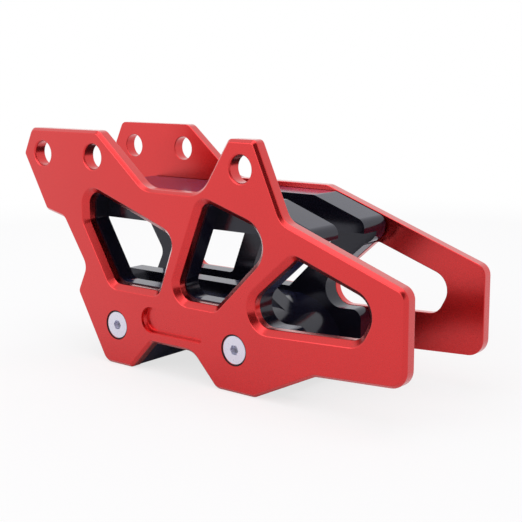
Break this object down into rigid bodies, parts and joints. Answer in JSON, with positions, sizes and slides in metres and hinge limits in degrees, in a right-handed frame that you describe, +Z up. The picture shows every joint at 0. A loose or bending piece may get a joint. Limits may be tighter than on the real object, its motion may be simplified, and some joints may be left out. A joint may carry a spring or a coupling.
{
  "type": "motorcycle chain guide",
  "caption": "Off-road motorcycle chain guide with two windowed red side plates screwed to a black plastic block that the chain passes through.",
  "frame": {"origin": "on the axis of the front ear hole, midway between the side plates", "axes": "+X runs back along the chain from the front ear to the tail, +Y across the guide from the plate with the third hole to the other plate, +Z up"},
  "size_m": [0.1612, 0.049, 0.0798],
  "materials": {
    "plate": "satin red anodised",
    "block": "gloss, moulded",
    "screw": "bright zinc plated",
    "insert": "turned"
  },
  "bodies": {
    "root": {"near_plate": "plate", "far_plate": "plate", "slider_block": "block", "near_screw_front": "screw", "near_screw_tail": "screw", "far_screw_front": "screw", "far_screw_tail": "screw", "near_insert_front": "insert", "near_insert_tail": "insert", "far_insert_front": "insert", "far_insert_tail": "insert"}
  },
  "joints": []
}
